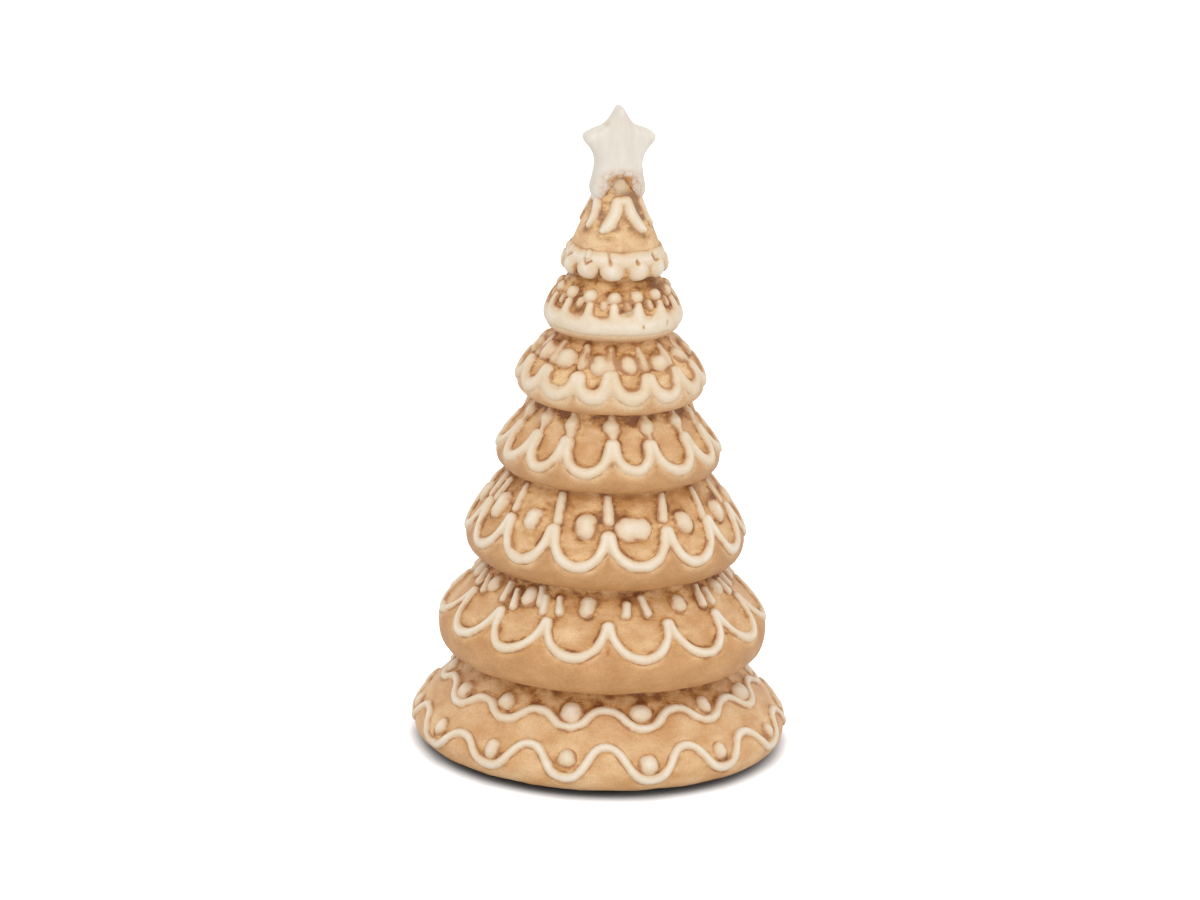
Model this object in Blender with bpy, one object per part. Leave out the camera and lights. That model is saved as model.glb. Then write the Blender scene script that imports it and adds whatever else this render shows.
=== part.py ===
"""Gingerbread Christmas tree: seven cast tiers, piped icing, a star and a felt pad.

Metres, +Z up. The origin is the centre of the felt pad's underside, and the front of the tree faces -Y.
Angles round the tree are in degrees from the front, positive towards +X.
A level is a place on a tier's outer face: 0 at the shoulder, 1 at the rim, and past 1 under the rim.
"""

from dataclasses import dataclass
from math import cos, degrees, hypot, pi, radians, sin, tau

import bmesh
import bpy
from mathutils import Matrix, Vector
from mathutils.geometry import interpolate_bezier

mm = 0.001

# Felt and glue
felt_thickness = 1.5 * mm
felt_inset = 2.5 * mm
glue_line = 0.3 * mm

# Four strokes stand under the star, the first of them to the right of the front
chevron_count = 4
chevron_angle = 13.0

# Piped lines: sizes over the glue line, and the crown's share of a line's width
wave_width = 2.3 * mm
wave_height = 1.0 * mm
chevron_width = 2.2 * mm
chevron_height = 0.9 * mm
chevron_spread = 5.4 * mm
garland_height = 0.8 * mm
garland_bevel = 0.7 * mm
crown_share = 0.5

# How full a swag hangs, and where in its half width the flat top of its cusp begins
swag_fullness = 2.2
cusp_start = 0.9

# Facets
slope_points = 6
belly_points = 4
wave_steps = 6
swag_columns = 6
weld = 0.001 * mm


@dataclass
class Tier:
    """One turned tier. The outer line falls from the shoulder to the rim and curls under to the foot.

    Its icing repeats round it, from the first angle: the troughs of a wave, or the cusps of a garland.
    """

    name: str
    foot_radius: float
    rim_radius: float
    rim_rise: float
    rise: float
    shoulder_radius: float
    shoulder_run: float
    shoulder_fall: float
    brow: float
    cheek: float
    sole_run: float
    sides: int
    repeats: int
    first_angle: float
    foot: float = 0.0


@dataclass
class Dot:
    """A drop of icing, half sunk in the face; taper narrows its upper end."""

    width: float
    length: float
    height: float
    taper: float = 0.0


base_lower_dot = Dot(width=3.9 * mm, length=4.4 * mm, height=1.4 * mm)
base_upper_dot = Dot(width=3.9 * mm, length=4.0 * mm, height=1.4 * mm)
second_dot = Dot(width=3.6 * mm, length=4.6 * mm, height=1.3 * mm)
slim_drop = Dot(width=2.0 * mm, length=4.8 * mm, height=1.1 * mm, taper=0.3)
third_dot = Dot(width=4.0 * mm, length=5.4 * mm, height=1.4 * mm)
third_stroke = Dot(width=2.1 * mm, length=6.4 * mm, height=1.0 * mm)
fourth_dot = Dot(width=3.9 * mm, length=4.1 * mm, height=1.5 * mm)
fifth_dot = Dot(width=4.5 * mm, length=4.2 * mm, height=1.4 * mm)
sixth_dot = Dot(width=3.0 * mm, length=3.1 * mm, height=1.3 * mm)

base = Tier(
    name="base_tier",
    foot_radius=46.5 * mm,
    rim_radius=50.2 * mm,
    rim_rise=4.8 * mm,
    rise=24.2 * mm,
    shoulder_radius=36.0 * mm,
    shoulder_run=5.5 * mm,
    shoulder_fall=7.0 * mm,
    brow=4.4 * mm,
    cheek=3.0 * mm,
    sole_run=3.0 * mm,
    sides=36,
    repeats=14,
    first_angle=16.5,
)
second = Tier(
    name="second_tier",
    foot_radius=35.0 * mm,
    rim_radius=44.1 * mm,
    rim_rise=8.7 * mm,
    rise=26.4 * mm,
    shoulder_radius=31.0 * mm,
    shoulder_run=3.2 * mm,
    shoulder_fall=2.4 * mm,
    brow=5.5 * mm,
    cheek=7.5 * mm,
    sole_run=5.5 * mm,
    sides=36,
    repeats=14,
    first_angle=2.5,
)
third = Tier(
    name="third_tier",
    foot_radius=30.0 * mm,
    rim_radius=37.2 * mm,
    rim_rise=6.8 * mm,
    rise=25.1 * mm,
    shoulder_radius=26.0 * mm,
    shoulder_run=3.6 * mm,
    shoulder_fall=1.8 * mm,
    brow=4.7 * mm,
    cheek=3.3 * mm,
    sole_run=5.0 * mm,
    sides=28,
    repeats=14,
    first_angle=2.0,
)
fourth = Tier(
    name="fourth_tier",
    foot_radius=25.0 * mm,
    rim_radius=29.6 * mm,
    rim_rise=5.2 * mm,
    rise=20.1 * mm,
    shoulder_radius=21.0 * mm,
    shoulder_run=2.2 * mm,
    shoulder_fall=3.9 * mm,
    brow=3.4 * mm,
    cheek=3.1 * mm,
    sole_run=3.5 * mm,
    sides=28,
    repeats=14,
    first_angle=1.5,
)
fifth = Tier(
    name="fifth_tier",
    foot_radius=20.0 * mm,
    rim_radius=24.6 * mm,
    rim_rise=5.2 * mm,
    rise=18.2 * mm,
    shoulder_radius=15.5 * mm,
    shoulder_run=2.3 * mm,
    shoulder_fall=1.6 * mm,
    brow=4.5 * mm,
    cheek=3.0 * mm,
    sole_run=3.5 * mm,
    sides=24,
    repeats=14,
    first_angle=0.5,
)
sixth = Tier(
    name="sixth_tier",
    foot_radius=14.5 * mm,
    rim_radius=17.7 * mm,
    rim_rise=4.5 * mm,
    rise=16.8 * mm,
    shoulder_radius=11.0 * mm,
    shoulder_run=4.0 * mm,
    shoulder_fall=5.0 * mm,
    brow=3.2 * mm,
    cheek=3.0 * mm,
    sole_run=2.5 * mm,
    sides=24,
    repeats=14,
    first_angle=1.0,
)
peak = Tier(
    name="peak_tier",
    foot_radius=9.8 * mm,
    rim_radius=13.0 * mm,
    rim_rise=3.4 * mm,
    rise=27.6 * mm,
    shoulder_radius=2.0 * mm,
    shoulder_run=3.7 * mm,
    shoulder_fall=4.6 * mm,
    brow=6.2 * mm,
    cheek=2.2 * mm,
    sole_run=1.8 * mm,
    sides=24,
    repeats=12,
    first_angle=12.0,
)
tiers = [base, second, third, fourth, fifth, sixth, peak]

# Star: half widths, and heights from the top of the peak, before its corners are rounded.
# It is turned to show its left wall.
star_thickness = 7.0 * mm
star_turn = 16.0
star_top = 19.3 * mm
star_neck_width = 3.9 * mm
star_neck_height = 12.8 * mm
star_arm_reach = 11.0 * mm
star_arm_height = 10.4 * mm
star_waist_width = 6.3 * mm
star_waist_height = 4.2 * mm
star_leg_reach = 8.3 * mm
star_leg_height = -7.2 * mm
star_crotch_height = -0.6 * mm
star_corner = 2.4 * mm
star_edge = 1.1 * mm


class Skin:
    """The outer face of a tier as its profile line, so that icing can be laid on it by angle and level."""

    def __init__(self, tier):
        self.line = outer_line(tier)
        steps = [b - a for a, b in zip(self.line, self.line[1:])]
        self.lengths = [0.0]
        for step in steps:
            self.lengths.append(self.lengths[-1] + step.length)
        ways = [step.normalized() for step in steps]
        self.ways = [(a + b).normalized() for a, b in zip([ways[0], *ways], [*ways, ways[-1]])]
        self.slope_length = self.lengths[slope_points - 1]

    def distance(self, level):
        return level * self.slope_length

    def place(self, distance):
        """Point on the profile and the smoothed direction down it."""
        distance = min(max(distance, 0.0), self.lengths[-1])
        i = next((i for i, length in enumerate(self.lengths) if i and length >= distance), len(self.lengths) - 1)
        share = (distance - self.lengths[i - 1]) / (self.lengths[i] - self.lengths[i - 1])
        return self.line[i - 1].lerp(self.line[i], share), self.ways[i - 1].lerp(self.ways[i], share)

    def frame(self, angle, distance):
        """Point, direction round the tree, direction down the slope, and outward normal."""
        place, down = self.place(distance)
        outward = Vector((sin(radians(angle)), -cos(radians(angle)), 0.0))
        across = Vector((-outward.y, outward.x, 0.0))
        point = outward * place.x + Vector((0.0, 0.0, place.z))
        down_slope = (outward * down.x + Vector((0.0, 0.0, down.z))).normalized()
        return point, across, down_slope, down_slope.cross(across)

    def lifted(self, angle, distance, lift):
        point, _, _, normal = self.frame(angle, distance)
        return point + normal * lift

    def degrees_per_metre(self, distance):
        return degrees(1.0 / self.place(distance)[0].x)

    def bulge(self, top, bottom):
        """How far the face stands out, between two distances, from the straight line that joins them."""
        start, end = self.place(top)[0], self.place(bottom)[0]
        along = (end - start).normalized()
        out = Vector((-along.z, 0.0, along.x))
        between = [point for point, length in zip(self.line, self.lengths) if top < length < bottom]
        return max([0.0] + [(point - start).dot(out) for point in between])


def outer_line(tier):
    """Shoulder to rim to foot as two Bezier curves, in X (radius) and Z."""
    top = tier.foot + tier.rise
    rim = tier.foot + tier.rim_rise
    slope = interpolate_bezier(
        Vector((tier.shoulder_radius, 0.0, top)),
        Vector((tier.shoulder_radius + tier.shoulder_run, 0.0, top - tier.shoulder_fall)),
        Vector((tier.rim_radius, 0.0, rim + tier.brow)),
        Vector((tier.rim_radius, 0.0, rim)),
        slope_points,
    )
    belly = interpolate_bezier(
        Vector((tier.rim_radius, 0.0, rim)),
        Vector((tier.rim_radius, 0.0, rim - tier.cheek)),
        Vector((tier.foot_radius + tier.sole_run, 0.0, tier.foot)),
        Vector((tier.foot_radius, 0.0, tier.foot)),
        belly_points,
    )
    return slope + belly[1:]


def stack_tiers():
    """Each foot rests on the shoulder below with one glue line between them."""
    foot = felt_thickness + glue_line
    for tier in tiers:
        tier.foot = foot
        foot += tier.rise + glue_line


def finish(name, bm, material, smooth_angle=40.0):
    bmesh.ops.recalc_face_normals(bm, faces=bm.faces)
    mesh = bpy.data.meshes.new(name)
    bm.to_mesh(mesh)
    bm.free()
    mesh.shade_smooth()
    mesh.set_sharp_from_angle(angle=radians(smooth_angle))
    mesh.materials.append(material)
    made = bpy.data.objects.new(name, mesh)
    bpy.context.scene.collection.objects.link(made)
    return made


def turned(profile, sides):
    """A solid of revolution from an open line of (radius, height) points, its two ends capped flat."""
    bm = bmesh.new()
    line = [bm.verts.new((radius, 0.0, height)) for radius, height in profile]
    edges = [bm.edges.new(pair) for pair in zip(line, line[1:])]
    bmesh.ops.spin(
        bm, geom=line + edges, cent=(0, 0, 0), axis=(0, 0, 1), angle=tau, steps=sides, use_merge=True
    )
    bmesh.ops.remove_doubles(bm, verts=bm.verts, dist=weld)
    bmesh.ops.holes_fill(bm, edges=bm.edges, sides=0)
    return bm


def build_tier(tier, dots, material, dot_material):
    """The turned casting, with its dots of icing raised on it."""
    profile = [(point.x, point.z) for point in outer_line(tier)]
    solid = finish(tier.name, turned(profile, tier.sides), material)
    if not dots:
        return
    skin = Skin(tier)
    drops = bmesh.new()
    for angle, level, dot in dots:
        add_dot(drops, skin, angle, level, dot)
    relief = finish(tier.name + "_dots", drops, dot_material)
    relief.hide_render = True
    relief.display_type = "WIRE"
    union = solid.modifiers.new("dots", "BOOLEAN")
    union.operation = "UNION"
    union.solver = "EXACT"
    union.material_mode = "TRANSFER"
    union.object = relief


def build_felt(material):
    bm = bmesh.new()
    bmesh.ops.create_cone(
        bm,
        cap_ends=True,
        segments=base.sides,
        radius1=base.foot_radius - felt_inset,
        radius2=base.foot_radius - felt_inset,
        depth=felt_thickness,
        matrix=Matrix.Translation((0, 0, felt_thickness / 2)),
    )
    return finish("felt_pad", bm, material)


def add_dot(bm, skin, angle, level, dot):
    dome = bmesh.ops.create_icosphere(bm, subdivisions=1, radius=1.0)["verts"]
    for vert in dome:
        vert.co.x *= 1.0 + dot.taper * vert.co.y
    point, across, down, normal = skin.frame(angle, skin.distance(level))
    axes = Matrix((across * dot.width / 2, down * dot.length / 2, normal * dot.height)).transposed()
    bmesh.ops.transform(bm, matrix=Matrix.Translation(point) @ axes.to_4x4(), verts=dome)


def rolled(bm, sections, closed):
    """A solid through a row of four-cornered sections: a flat grid rolled up and welded, open ends capped."""
    corners = len(sections[0])
    spans = len(sections) if closed else len(sections) - 1
    grid = bmesh.ops.create_grid(bm, x_segments=spans, y_segments=corners, size=0.5)["verts"]
    for vert in grid:
        step = round((vert.co.x + 0.5) * spans) % len(sections)
        corner = round((vert.co.y + 0.5) * corners) % corners
        vert.co = sections[step][corner]
    bmesh.ops.remove_doubles(bm, verts=grid, dist=weld)
    bmesh.ops.holes_fill(bm, edges=bm.edges, sides=0)


def piped_sections(skin, path, widths, height, closed):
    """Sections of a piped line: two feet on the face and a narrower crown between them."""
    sections = []
    for i, (angle, distance) in enumerate(path):
        before = path[i - 1] if i or closed else path[i]
        after = path[(i + 1) % len(path)] if i + 1 < len(path) or closed else path[i]
        per_metre = skin.degrees_per_metre(distance)
        run = ((after[0] - before[0] + 180.0) % 360.0 - 180.0) / per_metre
        fall = after[1] - before[1]
        reach = widths[i] / 2 + abs(fall) / 4
        foot = glue_line + skin.bulge(distance - reach, distance + reach)
        section = []
        for share, lift in ((-1.0, 0.0), (-crown_share, 1.0), (crown_share, 1.0), (1.0, 0.0)):
            offset = share * widths[i] / 2 / hypot(run, fall)
            section.append(
                skin.lifted(angle - offset * fall * per_metre, distance + offset * run, foot + height * lift)
            )
        sections.append(section)
    return sections


def build_wave(name, tier, crest_level, trough_level, material):
    """One unbroken wavy line round the tier, with its troughs at the tier's first angle and every pitch on."""
    skin = Skin(tier)
    steps = wave_steps * tier.repeats
    middle, swing = (crest_level + trough_level) / 2, (trough_level - crest_level) / 2
    path = []
    for i in range(steps):
        phase = tau * i / wave_steps
        angle = tier.first_angle + 360.0 * i / steps
        path.append((angle, skin.distance(middle + swing * cos(phase))))
    bm = bmesh.new()
    rolled(bm, piped_sections(skin, path, [wave_width] * steps, wave_height, True), True)
    return finish(name, bm, material)


def sag(share):
    """The hang of a swag: 0 at its middle, rising steeply to 1 at its cusps."""
    share = min(share, 1.0)
    return 1.0 - (1.0 - share**swag_fullness) ** (1.0 / swag_fullness)


def build_garland(name, tier, cusp_level, inner_level, outer_level, nick_level, material):
    """Swags hung side by side and joined at their cusps, as one ring.

    Levels: the cusps' tops, the upper and lower edge at a swag's middle, and the nick under each cusp.
    """
    skin = Skin(tier)
    half = swag_columns // 2
    columns = []
    for i in range(swag_columns * tier.repeats):
        swag, column = divmod(i, swag_columns)
        side = sin(pi / 2 * (column - half) / half)
        angle = tier.first_angle + 360.0 / tier.repeats * (swag + 0.5 + side / 2)
        top_level = inner_level + (cusp_level - inner_level) * sag(abs(side) / cusp_start)
        low_level = outer_level + (nick_level - outer_level) * sag(abs(side))
        columns.append((angle, skin.distance(top_level), skin.distance(low_level)))
    sections = []
    for i, (angle, top, low) in enumerate(columns):
        beside = [columns[i - 1], columns[(i + 1) % len(columns)]]
        highest = min([top] + [(top + other[1]) / 2 for other in beside])
        lowest = max([low] + [(low + other[2]) / 2 for other in beside])
        foot = glue_line + skin.bulge(highest, lowest)
        bevel = min(garland_bevel, 0.3 * (low - top))
        sections.append(
            [
                skin.lifted(angle, top, foot),
                skin.lifted(angle, top + bevel, foot + garland_height),
                skin.lifted(angle, low - bevel, foot + garland_height),
                skin.lifted(angle, low, foot),
            ]
        )
    bm = bmesh.new()
    rolled(bm, sections, True)
    return finish(name, bm, material)


def build_chevrons(tier, apex_level, foot_level, material):
    """Inverted V strokes with a rounded apex and splayed feet, one mesh for all."""
    skin = Skin(tier)
    apex, drop = skin.distance(apex_level), skin.distance(foot_level - apex_level)
    spread = chevron_spread
    handles = [Vector((0.0, 0.0)), Vector((0.6 * spread, 0.0)), Vector((0.3 * spread, 0.6 * drop))]
    half = interpolate_bezier(*handles, Vector((spread, drop)), 6)
    line = [Vector((-point.x, point.y)) for point in half[:0:-1]] + half
    path = [(point.x * skin.degrees_per_metre(apex + point.y), apex + point.y) for point in line]
    widths = [chevron_width] * len(path)
    widths[0] = widths[-1] = 0.6 * chevron_width
    bm = bmesh.new()
    rolled(bm, piped_sections(skin, path, widths, chevron_height, False), False)
    first = finish("peak_chevron_1", bm, material)
    chevrons = [first]
    for n in range(1, chevron_count):
        chevron = bpy.data.objects.new(f"peak_chevron_{n + 1}", first.data)
        bpy.context.scene.collection.objects.link(chevron)
        chevrons.append(chevron)
    for n, chevron in enumerate(chevrons):
        chevron.rotation_euler.z = radians(chevron_angle + 360.0 * n / chevron_count)


def star_seat_cutter():
    """The peak's outer line grown by the glue line: what the star is cut to."""
    line = [(point.x + glue_line, point.z + glue_line) for point in outer_line(peak)]
    cutter = finish("star_seat_cutter", turned(line, peak.sides), icing)
    cutter.hide_render = True
    cutter.display_type = "WIRE"
    return cutter


def build_star(material):
    """A thick five-pointed plate whose two long legs straddle the peak."""
    half = [
        (star_neck_width, star_neck_height),
        (star_arm_reach, star_arm_height),
        (star_waist_width, star_waist_height),
        (star_leg_reach, star_leg_height),
    ]
    outline = [(0.0, star_top), *half, (0.0, star_crotch_height), *[(-x, z) for x, z in reversed(half)]]
    bm = bmesh.new()
    corners = [bm.verts.new((x, -star_thickness / 2, z)) for x, z in outline]
    front = bm.faces.new(corners)
    bmesh.ops.bevel(bm, geom=corners, offset=star_corner, segments=3, profile=0.5, affect="VERTICES")
    plate = bmesh.ops.extrude_face_region(bm, geom=bm.faces[:], use_keep_orig=True)["geom"]
    drawn = [item for item in plate if isinstance(item, bmesh.types.BMVert)]
    bmesh.ops.translate(bm, verts=drawn, vec=(0, star_thickness, 0))
    bmesh.ops.recalc_face_normals(bm, faces=bm.faces)
    rims = [edge for edge in bm.edges if abs(edge.verts[0].co.y - edge.verts[1].co.y) < weld]
    bmesh.ops.bevel(
        bm, geom=rims, offset=star_edge, segments=2, profile=0.5, affect="EDGES", clamp_overlap=True
    )
    star = finish("star_topper", bm, material)
    star.location.z = peak.foot + peak.rise
    star.rotation_euler.z = radians(star_turn)
    seat = star.modifiers.new("seat over the peak", "BOOLEAN")
    seat.operation = "DIFFERENCE"
    seat.solver = "EXACT"
    seat.object = star_seat_cutter()
    return star


def make_material(name, colour, roughness):
    material = bpy.data.materials.new(name)
    material.use_nodes = True
    shader = material.node_tree.nodes["Principled BSDF"]
    shader.inputs["Base Color"].default_value = (*colour, 1.0)
    shader.inputs["Roughness"].default_value = roughness
    shader.inputs["Metallic"].default_value = 0.0
    material.diffuse_color = (*colour, 1.0)
    return material


def ring(tier, dot, level, shift=0.0, leave_out=()):
    """A ring of like dots, one for each repeat; shift is in repeats from the tier's first angle."""
    places = [n for n in range(tier.repeats) if n not in leave_out]
    return [(tier.first_angle + 360.0 / tier.repeats * (n + shift), level, dot) for n in places]


for old in list(bpy.data.objects):
    bpy.data.objects.remove(old, do_unlink=True)

gingerbread = make_material("gingerbread", (0.60, 0.36, 0.17), 0.55)
icing = make_material("icing", (0.86, 0.76, 0.62), 0.5)
felt = make_material("felt", (0.10, 0.09, 0.08), 0.95)

stack_tiers()
build_felt(felt)

# Every second tier swag has a dot over it and every cusp a pair of slim drops, but the front swag has two
# slim drops in place of its dot, and the cusps at its ends have none.
front_only = range(1, second.repeats)
rings = {
    base.name: ring(base, base_lower_dot, 0.82) + ring(base, base_upper_dot, 0.29),
    second.name: ring(second, second_dot, 0.26, shift=0.5, leave_out=(0,))
    + ring(second, slim_drop, 0.29, shift=-0.15, leave_out=(0, 1))
    + ring(second, slim_drop, 0.29, shift=0.15, leave_out=(0, 1))
    + ring(second, slim_drop, 0.29, shift=0.33, leave_out=front_only)
    + ring(second, slim_drop, 0.29, shift=0.66, leave_out=front_only),
    third.name: ring(third, third_dot, 0.47, shift=0.5) + ring(third, third_stroke, 0.25),
    fourth.name: ring(fourth, fourth_dot, 0.23),
    fifth.name: ring(fifth, fifth_dot, 0.42, shift=0.5),
    sixth.name: ring(sixth, sixth_dot, 0.42),
}
for tier in tiers:
    build_tier(tier, rings.get(tier.name, ()), gingerbread, icing)

# Piped lines: levels down the face of each tier
build_wave("base_lower_wave", base, 0.69, 1.04, icing)
build_wave("base_upper_wave", base, 0.28, 0.46, icing)
build_garland("second_tier_garland", second, 0.49, 0.85, 0.96, 0.63, icing)
build_garland("third_tier_garland", third, 0.50, 0.90, 1.01, 0.65, icing)
build_garland("fourth_tier_garland", fourth, 0.42, 0.87, 1.02, 0.62, icing)
build_garland("fifth_tier_garland", fifth, 0.60, 0.86, 1.09, 0.94, icing)
build_garland("sixth_tier_band", sixth, 0.56, 0.82, 1.14, 1.14, icing)
build_garland("peak_garland", peak, 0.85, 1.00, 1.13, 1.03, icing)
build_chevrons(peak, 0.34, 0.66, icing)

build_star(icing)
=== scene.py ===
from math import cos, degrees, pi, radians, sin, tau

import bmesh
import bpy
import numpy as np
from mathutils import Matrix, Vector
from mathutils.geometry import interpolate_bezier


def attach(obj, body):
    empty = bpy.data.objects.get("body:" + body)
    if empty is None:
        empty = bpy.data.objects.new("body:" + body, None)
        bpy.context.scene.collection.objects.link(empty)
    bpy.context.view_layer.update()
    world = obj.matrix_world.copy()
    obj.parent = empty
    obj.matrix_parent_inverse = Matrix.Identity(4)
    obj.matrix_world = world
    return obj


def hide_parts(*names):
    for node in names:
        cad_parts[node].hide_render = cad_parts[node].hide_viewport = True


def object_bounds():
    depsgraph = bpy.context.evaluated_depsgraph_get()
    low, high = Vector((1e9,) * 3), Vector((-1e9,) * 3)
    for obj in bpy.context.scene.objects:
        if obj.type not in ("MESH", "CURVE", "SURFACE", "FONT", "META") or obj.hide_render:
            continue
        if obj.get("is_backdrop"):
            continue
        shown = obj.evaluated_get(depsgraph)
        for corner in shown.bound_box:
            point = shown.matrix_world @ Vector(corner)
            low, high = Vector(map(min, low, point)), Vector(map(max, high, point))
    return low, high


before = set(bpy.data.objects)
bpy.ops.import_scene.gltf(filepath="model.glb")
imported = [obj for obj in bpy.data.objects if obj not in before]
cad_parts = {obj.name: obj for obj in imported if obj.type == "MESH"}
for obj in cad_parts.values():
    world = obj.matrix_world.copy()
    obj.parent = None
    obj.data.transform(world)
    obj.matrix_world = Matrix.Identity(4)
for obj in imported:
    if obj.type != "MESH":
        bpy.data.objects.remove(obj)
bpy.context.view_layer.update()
print("stage: frame loaded")

mm = 0.001
rng = np.random.default_rng(12)


# small helpers

def linear(hexColour):
    # sRGB hex to linear
    parts = [int(hexColour[i:i + 2], 16) / 255 for i in (0, 2, 4)]
    return [c / 12.92 if c <= 0.04045 else ((c + 0.055) / 1.055) ** 2.4 for c in parts] + [1.0]


def smoothStep(low, high, x):
    t = np.clip((x - low) / (high - low), 0.0, 1.0)
    return t * t * (3 - 2 * t)


def turnsFrom(theta, middle):
    # signed angle from middle, in degrees
    return (theta - middle + 180.0) % 360.0 - 180.0


def addNode(tree, kind, settings=None, links=None):
    # one node, its fields or sockets set by name or number, and what feeds it
    made = tree.nodes.new(kind)
    for name, value in (settings or {}).items():
        if isinstance(name, str) and hasattr(made, name) and name not in made.inputs:
            setattr(made, name, value)
        else:
            made.inputs[name].default_value = value
    for name, source in (links or {}).items():
        tree.links.new(source, made.inputs[name])
    return made


def newMaterial(name):
    made = bpy.data.materials.new(name)
    made.use_nodes = True
    made.node_tree.nodes.clear()
    return made, made.node_tree


def addObject(name, bm, material):
    mesh = bpy.data.meshes.new(name)
    bm.to_mesh(mesh)
    bm.free()
    mesh.shade_smooth()
    mesh.materials.append(material)
    made = bpy.data.objects.new(name, mesh)
    bpy.context.scene.collection.objects.link(made)
    return made


# materials

finishes = {
    "darkTan": "BC8853",  # the tone under the rolled edges, partly painted shade on the lower faces
    "tan": "CE9B66",  # cast resin toned like baked dough
    "paleTan": "E8C597",
    "gold": "E8BB7E",  # where the glaze was wiped thin
    "glaze": "BF8749",
    "deepGlaze": "875124",  # antique glaze left in the recesses
    "rubbed": "B5835A",  # the foot of an icing line
    "stained": "C79B6D",
    "thinCream": "D9BA97",
    "cream": "DFC8A7",
    "warmCream": "DCC19A",
    "brightCream": "EADCC9",
    "starShade": "DBD1C3",
    "starCream": "E4DCCF",
    "starGlaze": "B67E42",
    "feltShade": "1E1B18",
    "feltNap": "3A352F",
}
marks = {  # how many there are to a metre
    "brush": 330.0, "grain": 2200.0, "wiped": 140.0, "worn": 260.0, "thick": 90.0,
    "starBrush": 500.0, "stipple": 900.0, "nap": 2000.0,
}
depths = {"grain": 0.2 * mm, "brush": 0.4 * mm, "nap": 0.3 * mm}


def colourRamp(tree, factor, stops):
    made = addNode(tree, "ShaderNodeValToRGB", None, {"Fac": factor})
    while len(made.color_ramp.elements) < len(stops):
        made.color_ramp.elements.new(0.5)
    for stop, (where, finish) in zip(made.color_ramp.elements, stops):
        stop.position = where
        stop.color = linear(finishes[finish])
    return made.outputs[0]


def blended(tree, factor, under, over):
    # one colour laid over another, each a socket or the name of a finish
    settings, links = {"data_type": "RGBA"}, {"Factor": factor}
    for socket, colour in (("A", under), ("B", over)):
        if isinstance(colour, str):
            settings[socket] = linear(finishes[colour])
        else:
            links[socket] = colour
    return addNode(tree, "ShaderNodeMix", settings, links).outputs["Result"]


def mapped(tree, value, low=0.0, high=1.0, toLow=0.0, toHigh=1.0):
    spans = {"From Min": low, "From Max": high, "To Min": toLow, "To Max": toHigh}
    return addNode(tree, "ShaderNodeMapRange", spans, {"Value": value}).outputs[0]


def placeIn(tree, kind="Object"):
    return addNode(tree, "ShaderNodeTexCoord").outputs[kind]


def noise(tree, place, scale, detail, roughness=0.5, distortion=0.0):
    shape = {"Scale": scale, "Detail": detail, "Roughness": roughness, "Distortion": distortion}
    return addNode(tree, "ShaderNodeTexNoise", shape, {"Vector": place}).outputs["Fac"]


def stretched(tree, place, upright):
    scale = {"Scale": (1.0, 1.0, upright)}
    return addNode(tree, "ShaderNodeMapping", scale, {"Vector": place}).outputs[0]


def joined(tree, how, one, other, clamp=True):
    settings = {"operation": how, "use_clamp": clamp}
    return addNode(tree, "ShaderNodeMath", settings, {0: one, 1: other}).outputs[0]


def scaled(tree, colour, share):
    links = {0: colour, "Scale": share}
    return addNode(tree, "ShaderNodeVectorMath", {"operation": "SCALE"}, links).outputs[0]


def bumped(tree, height, strength, depth, **more):
    settings = {"Strength": strength, "Distance": depth}
    return addNode(tree, "ShaderNodeBump", settings, {"Height": height, **more}).outputs[0]


def layerOf(tree, name):
    # what the mesh says at each vertex
    return addNode(tree, "ShaderNodeAttribute", {"attribute_name": name}).outputs["Fac"]


def coated(tree, colour, bump, settings, **more):
    links = {"Base Color": colour, "Normal": bump, **more}
    shader = addNode(tree, "ShaderNodeBsdfPrincipled", settings, links)
    addNode(tree, "ShaderNodeOutputMaterial", None, {"Surface": shader.outputs[0]})


def castResinMaterial():
    # stone-filled resin from a silicone mould, toned tan, washed with brown glaze and wiped back:
    # satin, the glaze pooled beside the icing and in the hollows and drawn out in brush streaks
    made, tree = newMaterial("washed cast resin")
    place = placeIn(tree)
    brush = noise(tree, stretched(tree, place, 1.8), marks["brush"], 5.0, 0.65)
    grain = noise(tree, place, marks["grain"], 2.0)
    patches = noise(tree, stretched(tree, place, 2.0), marks["wiped"], 5.0, 0.65)
    wash, pale, cream = (layerOf(tree, name) for name in ("wash", "pale", "cream"))

    cloudy = joined(tree, "ADD", pale, mapped(tree, patches, 0.36, 0.66, -0.14, 0.22))
    ground = colourRamp(tree, cloudy, [(0.0, "darkTan"), (0.4, "tan"), (1.0, "paleTan")])
    wiped = joined(tree, "MULTIPLY", wash, mapped(tree, patches, 0.47, 0.6))
    gilded = blended(tree, wiped, ground, "gold")
    streaky = mapped(tree, brush, 0.32, 0.68, 0.6, 1.35)
    kept = mapped(tree, patches, 0.43, 0.6, 1.4, 0.2)
    held = joined(tree, "MULTIPLY", streaky, kept, clamp=False)
    washed = joined(tree, "MULTIPLY", wash, held)
    glazed = blended(tree, mapped(tree, washed, high=0.55), gilded, "glaze")
    deep = blended(tree, mapped(tree, washed, low=0.45), glazed, "deepGlaze")
    creamy = blended(tree, cream, deep, "cream")
    coat = scaled(tree, creamy, mapped(tree, grain, 0.3, 0.7, 0.9, 1.08))
    rough = mapped(tree, brush, toLow=0.42, toHigh=0.62)
    bump = bumped(tree, brush, 0.3, depths["brush"], Normal=bumped(tree, grain, 0.3, depths["grain"]))
    coated(tree, coat, bump, {"IOR": 1.5}, Roughness=rough)
    return made


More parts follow.
